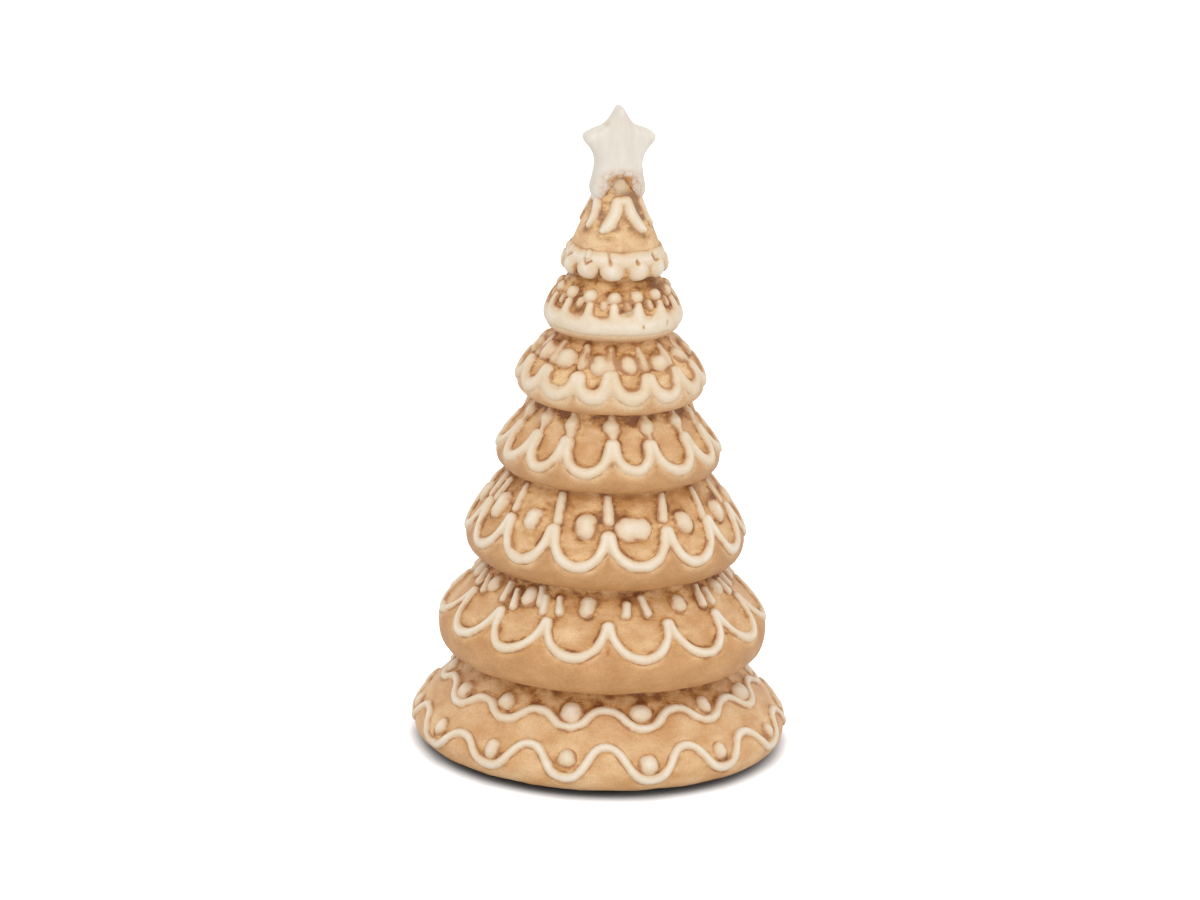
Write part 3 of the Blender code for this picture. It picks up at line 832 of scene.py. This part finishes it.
spec = peakPiping
lobes = allRound(spec, "lobes", spec["lobeCount"])
for angle, _ in lobes[len(spec["lobes"]):]:
    spec["dents"].append([(angle + a, h, w) for a, h, w in spec["backDent"]])
    spec["beads"].append((angle, *spec["backBead"]))
skirt = []
for a in range(-180, 180, spec["bandStep"]):
    points = [(end, spec["bandMiddle"], spec["bandWidth"]) for end in (a, a + spec["bandStep"])]
    skirt.append({"points": points, "height": spec["bandHeight"], "roundness": spec["bandRoundness"]})
start, end = spec["lobeEnds"]
swell = spec["bandHeight"] * spec["lobeSwell"]
shape = (spec["lobeWidth"], spec["lobeWidth"], swell, spec["lobeRoundness"])
piping["peak"] = {
    "peak_garland": skirt + [drop((a, h + start), (a, h + end), *shape) for a, h in lobes],
    "peak_dots": dotsOf("peak", spec["beads"]),
}
for n, turn in enumerate(spec["chevronTurns"]):
    leg = spec["sideChevron"] if n else spec["chevron"]
    legs = [(turn - a, h, w) for a, h, w in reversed(leg)] + [(turn + a, h, w) for a, h, w in leg]
    piping["peak"][f"peak_chevron_{n + 1}"] = [{"points": legs, "height": spec["chevronHeight"]}]
print("stage: piping laid out")

cadNodes = set(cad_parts)


skin = {  # mm
    "castingStep": 0.38, "icingStep": 0.25, "weld": 0.002,
    "lumps": [(0.08, 16.0), (0.025, 5.0)], "wobble": (0.09, 6.0),  # how high and how wide
    "sunk": 0.4, "panelEdge": 1.1, "turn": 0.4,  # the panels above the ring of icing
    "dent": 0.4, "room": 1.0,  # how deep a dent goes, and what is left round the icing
    "under": 0.2,  # the casting keeps clear of the icing's skin
    "proud": 0.05, "foot": 0.3,  # the icing stands off the casting and rises within its foot
    "skirt": 1.2, "floor": -0.3, "spare": 0.35,  # then falls away down to a floor, and is cut off
    "web": 6.0,  # keeps lines that run together apart
}


def edgeOf(face, theta, along, strokes):
    return pipeField(face, theta, along, strokes, skin["web"])[0]


def columnsFor(face, step):
    return repeats * max(20, int(round(tau * face.radii.max() / step / repeats)))


glazing = {  # shares of its full depth, and how many mm it reaches
    "drift": 9.0, "ragged": 0.6, "streaks": 0.2,  # how wide its drifts are and what they do
    "halo": 0.4, "line": 0.42, "haloReach": 0.75,  # beside the icing, and more above the ring
    "haloMean": 0.62, "haloSwing": 0.38, "haloDrift": 7.0, "haloLimits": (0.2, 1.2),
    "pool": 0.8, "poolReach": 1.7, "nick": 0.6, "nickLength": 1.5, "nickShape": (0.5, 0.2, 1),
    "panel": 0.34, "panelReach": 1.8, "joint": 0.35,
    "tip": 0.75, "tipHeights": (155.0, 158.0),  # the star's cream runs down over the tip
    "fade": 0.9, "creamReach": 1.4, "blushReach": 2.5,
    "undersideShadeReach": 2.0, "undersideShadePale": 0.05, "paleSwing": 0.12, "paleDrift": 14.0,
}


def glazeCasting(bm, name, seed, theta, along, edge, above):
    # how much glaze, cream and pale tone there is at each vertex of a casting
    tier, face, laid, spec = tiers[name], faces[name], piping[name], pipings[name]
    g = glazing
    drift = ripple(face, theta, along, seed + 3, g["drift"])
    heights = face.height(along) + g["ragged"] * drift
    out = np.maximum(edge, 0.0)
    # on the peak it is only the chevrons that hold glaze beside them
    holding = [strokes for n, strokes in laid.items() if name != "peak" or "chevron" in n]
    gaps = np.sort([edgeOf(face, theta, along, strokes) for strokes in holding], axis=0)
    between = np.maximum(gaps[0] + gaps[1], 0.0)
    pool = np.exp(-(between / spec.get("pool", g["poolReach"])) ** 2)  # between two pieces of icing
    if "nick" in spec:  # and where two swags part below their cusp
        tops = [(a, h - spec["nick"]) for a, h in spec["allCusps"]]
        nicks = [drop(top, (top[0], top[1] - g["nickLength"]), *g["nickShape"]) for top in tops]
        inside = smoothStep(0.6, -0.3, edgeOf(face, theta, along, nicks))
        pool = np.maximum(pool, g["nick"] * inside)
    uneven = g["haloMean"] + g["haloSwing"] * ripple(face, theta, along, seed + 5, g["haloDrift"])
    beside = np.maximum(gaps[0], 0.0) / spec.get("halo", g["haloReach"])
    share = g["halo"] + tier.get("line", g["line"]) * above
    halo = np.exp(-beside ** 2) * share * np.clip(uneven, *g["haloLimits"])
    halo *= 1 - g["fade"] * tier["creamFade"] * (1 - above)
    top = face.height(0.0)
    full = top - g["joint"] * (top - tier["washTo"])
    joint = tier["washDepth"] * smoothStep(tier["washTo"], full, heights)
    panel = g["panel"] * above * np.exp(-out / g["panelReach"])
    notched = tier.get("notched", 0.0) * (1 - above)  # glaze between the lobes of a scalloped edge
    wash = 1 - (1 - halo) * (1 - joint) * (1 - panel) * (1 - g["pool"] * pool) * (1 - notched)
    writeLayer(bm, "wash", np.clip(wash * (1 + g["streaks"] * drift), 0.0, 1.0))
    tip = smoothStep(*g["tipHeights"], heights) * g["tip"]
    blush = tier.get("blush", 0.0) * np.exp(-out / g["blushReach"]) * above
    faded = tier["creamFade"] * np.exp(-out / g["creamReach"]) * (1 - above)
    writeLayer(bm, "cream", faded + tip + blush)
    # below the ring of icing the tan turns darker: partly the casting's own tone, partly painted shade on
    # the faces that turn down
    under = tier["under"] * (1 - above) * smoothStep(0.0, g["undersideShadeReach"], out)
    pale = tier["pale"] + g["paleSwing"] * ripple(face, theta, along, seed + 4, g["paleDrift"])
    writeLayer(bm, "pale", np.clip(pale * (1 - under) + g["undersideShadePale"] * under, 0.0, 1.0))


def buildTier(name):
    tier, face, laid, spec = tiers[name], faces[name], piping[name], pipings[name]
    seed = 10 * list(tiers).index(name)
    ring = next(n for n in laid if n.endswith(("garland", "band", "upper_wave")))
    everything = [stroke for strokes in laid.values() for stroke in strokes]

    def wobble(theta, along):
        # a hand-piped edge isn't quite even
        height, size = skin["wobble"]
        return height * ripple(face, theta, along, seed + 2, size)

    def relief(theta, along):
        # the distance to any icing, whether above the ring of icing, and how far the casting's face
        # stands off its line: hand unevenness, and panels sunk above the ring
        edge = edgeOf(face, theta, along, everything) + wobble(theta, along)
        above = smoothStep(skin["turn"], -skin["turn"], along - lineUnder(face, theta, laid[ring]))
        stand = 0.0
        for n, (height, size) in enumerate(skin["lumps"]):
            stand = stand + height * ripple(face, theta, along, seed + n, size)
        sunk = tier.get("sunk", skin["sunk"])
        return edge, above, stand - sunk * above * smoothStep(0.0, skin["panelEdge"], edge)

    step = skin["castingStep"]
    bm, theta, along = wrappedSheet(face, columnsFor(face, step), step, 0.0, face.length)
    edge, above, stand = relief(theta, along)
    moveFace(bm, face, theta, along, stand - skin["under"] * smoothStep(0.05, -0.3, edge))
    glazeCasting(bm, name, seed, theta, along, edge, above)
    bmesh.ops.remove_doubles(bm, verts=bm.verts, dist=skin["weld"] * mm)
    bmesh.ops.holes_fill(bm, edges=[e for e in bm.edges if e.is_boundary], sides=0)
    bmesh.ops.recalc_face_normals(bm, faces=bm.faces)
    body = addObject(name + "_casting", bm, castResin)
    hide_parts(name + "_tier")
    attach(body, "root")
    print("stage:", name, "casting", len(body.data.polygons), "faces")

    step = skin["icingStep"]
    for pieceName, strokes in laid.items():
        heights = [point[1] for stroke in strokes for point in stroke["points"]]
        widest = max(point[2] for stroke in strokes for point in stroke["points"])
        low = max(0.0, face.alongAt(max(heights)) - widest - skin["room"])
        high = min(face.length, face.alongAt(min(heights)) + widest + skin["room"])
        bm, theta, along = wrappedSheet(face, columnsFor(face, step), step, low, high)
        above, stand = relief(theta, along)[1:]
        edge, lift, crest = pipeField(face, theta, along, strokes, spec["web"])
        edge = edge + wobble(theta, along)
        rising = lift * np.clip(-edge / skin["foot"], 0.0, 1.0)
        lift = np.where(edge < 0, rising, -skin["skirt"] * edge)
        soft = spec.get("softEdge", 0.0) * (1 - above) if pieceName == ring else 0.0
        crest = soft + (spec.get("paint", 1.0) - soft) * crest
        if pieceName == ring and "dents" in spec:
            dents = [{"points": points, "height": 1} for points in spec["dents"]]
            dent = smoothStep(0.35, -0.25, edgeOf(face, theta, along, dents))
            lift, crest = lift - skin["dent"] * dent, crest * (1 - dent)
        moveFace(bm, face, theta, along, stand + np.maximum(lift, skin["floor"]) + skin["proud"])
        writeLayer(bm, "crest", crest)
        bm.verts.ensure_lookup_table()
        idle = edge > skin["spare"]
        gone = [f for f in bm.faces if all(idle[v.index] for v in f.verts)]
        bmesh.ops.delete(bm, geom=gone, context="FACES")
        bmesh.ops.remove_doubles(bm, verts=bm.verts, dist=skin["weld"] * mm)
        bmesh.ops.recalc_face_normals(bm, faces=bm.faces)
        piece = addObject(pieceName + "_piped", bm, icingPaint)
        if pieceName in cadNodes:
            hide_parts(pieceName)
        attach(piece, "root")
        print("stage:", pieceName, len(piece.data.polygons), "faces")


for name in tiers:
    buildTier(name)

# star

star = {
    "thickness": 7.4, "turn": 16.0, "foot": 162.0,
    "half": [
        (0.0, 18.0), (3.2, 11.9), (10.8, 8.9), (5.9, 2.4), (7.9, -6.6), (5.0, -10.0),
        (0.0, -1.8),
    ],
    "corner": 2.2, "pillow": 2.2, "voxel": 0.3, "softness": 10, "lump": 0.1,
    "dirt": (-4.2, 12.6, 1.6),  # glaze in one notch: where it is and how far it goes
    "footGlaze": (0.6, 3.5), "crotchGlazeAndShade": (2.0, 4.5),  # where each starts and how far it takes
}


def buildStar():
    half = star["half"]
    outline = half + [(-x, z) for x, z in reversed(half[1:-1])]
    bm = bmesh.new()
    corners = [bm.verts.new((x * mm, -star["thickness"] / 2 * mm, z * mm)) for x, z in outline]
    bm.faces.new(corners)
    rounding = {"segments": 4, "profile": 0.5, "material": -1}
    bmesh.ops.bevel(bm, geom=corners, offset=star["corner"] * mm, affect="VERTICES", **rounding)
    grown = bmesh.ops.extrude_face_region(bm, geom=bm.faces[:], use_keep_orig=True)["geom"]
    moved = [item for item in grown if isinstance(item, bmesh.types.BMVert)]
    bmesh.ops.translate(bm, verts=moved, vec=(0, star["thickness"] * mm, 0))
    bmesh.ops.recalc_face_normals(bm, faces=bm.faces)
    rims = [e for e in bm.edges if len(e.link_faces) == 2 and e.calc_face_angle() > 1.0]
    bmesh.ops.bevel(bm, geom=rims, offset=star["pillow"] * mm, affect="EDGES", **rounding)
    rough = addObject("star_rough", bm, starPaint)
    remesh = rough.modifiers.new("even skin", "REMESH")
    remesh.mode = "VOXEL"
    remesh.voxel_size = star["voxel"] * mm
    evened = rough.evaluated_get(bpy.context.evaluated_depsgraph_get())
    mesh = bpy.data.meshes.new_from_object(evened)
    bpy.data.objects.remove(rough, do_unlink=True)
    bm = bmesh.new()
    bm.from_mesh(mesh)
    bpy.data.meshes.remove(mesh)
    axes = {"use_axis_x": True, "use_axis_y": True, "use_axis_z": True}
    for _ in range(star["softness"]):
        bmesh.ops.smooth_vert(bm, verts=bm.verts, factor=0.5, **axes)
    dirtX, dirtZ, dirtReach = star["dirt"]
    (footFrom, footReach), (crotchFrom, crotchReach) = star["footGlaze"], star["crotchGlazeAndShade"]
    layer = bm.verts.layers.float.new("wash")
    for vert in bm.verts:
        x, _, z = (c / mm for c in vert.co)
        low = max(0.0, min(1.0, (footFrom - z - 0.1 * abs(x)) / footReach))
        # darkest where the legs part over the tip of the tree: glaze, with painted shade of that crevice
        nearCrotch = max(0.0, 1.0 - max(0.0, abs(x) - crotchFrom) / crotchReach) * low
        away = ((x - dirtX) ** 2 + (z - dirtZ) ** 2) ** 0.5
        notch = max(0.0, 1.0 - away / dirtReach) * 0.5
        vert[layer] = min(1.0, 0.12 * low + nearCrotch * 0.9 + notch)
        lump = star["lump"] * sin(x * 0.9 + 1.3) * sin(z * 0.7 + 0.4)
        vert.co += vert.normal * lump * mm
    turn = Matrix.Translation((0, 0, star["foot"] * mm)) @ Matrix.Rotation(radians(star["turn"]), 4, "Z")
    bmesh.ops.transform(bm, matrix=turn, verts=bm.verts)
    piece = addObject("star_body", bm, starPaint)
    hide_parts("star_topper")
    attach(piece, "root")
    print("stage: star", len(piece.data.polygons), "faces")


buildStar()

# felt pad

felt = {"radius": 44.0, "thickness": 1.5, "roundness": 0.35, "segments": 168}
bm = bmesh.new()
radius, thickness = felt["radius"] * mm, felt["thickness"] * mm
bmesh.ops.create_cone(
    bm, cap_ends=True, segments=felt["segments"], radius1=radius, radius2=radius, depth=thickness,
    matrix=Matrix.Translation((0, 0, thickness / 2)),
)
rims = [e for e in bm.edges if abs(e.link_faces[0].normal.z - e.link_faces[1].normal.z) > 0.5]
bmesh.ops.bevel(
    bm, geom=rims, offset=felt["roundness"] * mm, segments=3, profile=0.5, material=-1, affect="EDGES",
)
pad = addObject("felt_disc", bm, woolFelt)
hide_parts("felt_pad")
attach(pad, "root")
print("stage: felt pad")

# floor, light and camera

studio = {
    "floor": 4.0, "floorSeen": 1.7, "floorLit": 0.9, "contact": 5.2 * mm, "aim": 80.0,
    # the colour of the painted contact shadow, then of the paper
    "paintedShadowTone": (0.12, 0.13, 0.15, 1), "paperTone": (0.96, 0.98, 1, 1),
    "skyTop": 0.98, "skyEdge": 0.68,
    "key": {"power": 6.6, "size": 1.2, "at": (-0.4, -1.3, 1.5)},
    "fill": {"power": 3.4, "size": 1.4, "at": (0.9, -1.2, 0.8)},
}


def buildStudio():
    bm = bmesh.new()
    bmesh.ops.create_grid(bm, x_segments=1, y_segments=1, size=studio["floor"])
    made, tree = newMaterial("white paper sweep")
    # burnt out to white for the camera, with a cool contact shadow painted in by ambient occlusion, that
    # keeps close to the tree
    near = addNode(tree, "ShaderNodeAmbientOcclusion", {"samples": 12, "Distance": studio["contact"]})
    seen = addNode(tree, "ShaderNodeLightPath").outputs["Is Camera Ray"]
    levels = {"A": studio["floorLit"], "B": studio["floorSeen"]}
    bright = addNode(tree, "ShaderNodeMix", levels, {"Factor": seen}).outputs[0]
    tones = {"data_type": "RGBA", "A": studio["paintedShadowTone"], "B": studio["paperTone"]}
    tone = addNode(tree, "ShaderNodeMix", tones, {"Factor": near.outputs["AO"]}).outputs["Result"]
    paper = scaled(tree, tone, bright)
    lit = addNode(tree, "ShaderNodeBsdfDiffuse", None, {"Color": paper})
    addNode(tree, "ShaderNodeOutputMaterial", None, {"Surface": lit.outputs[0]})
    floor = addObject("paper_floor", bm, made)
    floor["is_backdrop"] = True

    world = bpy.data.worlds.new("studio")
    bpy.context.scene.world = world
    world.use_nodes = True
    tree = world.node_tree
    tree.nodes.clear()
    path = addNode(tree, "ShaderNodeLightPath").outputs
    seen = joined(tree, "MAXIMUM", path["Is Camera Ray"], path["Is Glossy Ray"], clamp=False)
    seen = joined(tree, "MAXIMUM", seen, path["Is Transmission Ray"], clamp=False)
    upward = addNode(tree, "ShaderNodeSeparateXYZ", None, {0: placeIn(tree, "Generated")}).outputs[2]
    dome = mapped(tree, upward, high=0.7, toLow=studio["skyEdge"], toHigh=studio["skyTop"])
    strength = addNode(tree, "ShaderNodeMix", {"B": 1.0}, {"Factor": seen, "A": dome})
    sky = addNode(tree, "ShaderNodeBackground", {"Color": (1, 1, 1, 1)}, {"Strength": strength.outputs[0]})
    addNode(tree, "ShaderNodeOutputWorld", None, {"Surface": sky.outputs[0]})

    aim = Vector((0, 0, studio["aim"] * mm))
    for name in ("key", "fill"):
        spec = studio[name]
        lamp = bpy.data.lights.new(name, "AREA")
        lamp.energy = spec["power"]
        lamp.size = spec["size"]
        holder = bpy.data.objects.new(name, lamp)
        holder.location = spec["at"]
        holder.rotation_euler = (aim - Vector(spec["at"])).to_track_quat("-Z", "Y").to_euler()
        bpy.context.scene.collection.objects.link(holder)


buildStudio()

camera = {  # fitted to the photograph's outline
    "distance": 1350.0, "elevation": 16.5, "roll": 2.0, "aim": 85.0,
    "lens": 148.74, "sensor": 36.0, "shift": (-0.0070, -0.0069),
}
lensData = bpy.data.cameras.new("studio camera")
lensData.sensor_width = camera["sensor"]
lensData.lens = camera["lens"]
lensData.shift_x, lensData.shift_y = camera["shift"]
lensData.clip_start, lensData.clip_end = 0.05, 20.0
holder = bpy.data.objects.new("studio camera", lensData)
bpy.context.scene.collection.objects.link(holder)
tilt = radians(camera["elevation"])
back, up = camera["distance"] * cos(tilt), camera["aim"] + camera["distance"] * sin(tilt)
holder.matrix_world = (
    Matrix.Translation((0, -back * mm, up * mm))
    @ Matrix.Rotation(pi / 2 - tilt, 4, "X")
    @ Matrix.Rotation(radians(camera["roll"]), 4, "Z")
)
bpy.context.scene.camera = holder
bpy.context.scene.view_settings.view_transform = "Standard"
print("stage: studio ready")

low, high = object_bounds()
